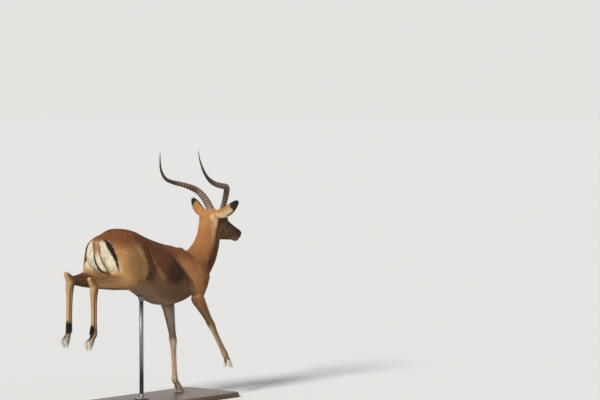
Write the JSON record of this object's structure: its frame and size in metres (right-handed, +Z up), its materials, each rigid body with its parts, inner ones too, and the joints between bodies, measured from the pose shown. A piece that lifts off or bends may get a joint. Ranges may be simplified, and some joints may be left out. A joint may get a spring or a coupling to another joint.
{
  "type": "impala antelope",
  "caption": "Male impala landing from a bound on one forefoot, hind legs trailing, head turned, with ringed lyre horns, held by a rod on a flat display board.",
  "frame": {"origin": "on the floor under the middle of the whole model's box", "axes": "+X the way the animal runs, +Y its left side, +Z up"},
  "size_m": [1.3832, 0.4364, 1.448],
  "materials": {
    "coat": "short smooth hair, red-brown above, white below and behind",
    "eye": "dark and wet",
    "horn": "satin keratin, ringed below and smooth at the tip",
    "hoof": "satin keratin",
    "board": "dark satin",
    "steel": "satin"
  },
  "bodies": {
    "root": {"trunk": "coat", "neck": "coat", "head": "coat", "tail": "coat", "foreleg_left": "coat", "foreleg_right": "coat", "hindleg_left": "coat", "hindleg_right": "coat", "ear_left": "coat", "ear_right": "coat", "eye_left": "eye", "horn_left": "horn", "hoof_fore_left_outer": "hoof", "hoof_fore_left_inner": "hoof", "hoof_hind_left_outer": "hoof", "hoof_hind_left_inner": "hoof", "eye_right": "eye", "horn_right": "horn", "hoof_fore_right_outer": "hoof", "hoof_fore_right_inner": "hoof", "hoof_hind_right_outer": "hoof", "hoof_hind_right_inner": "hoof", "stand_base": "board", "stand_flange": "steel", "stand_rod": "steel"}
  },
  "joints": []
}
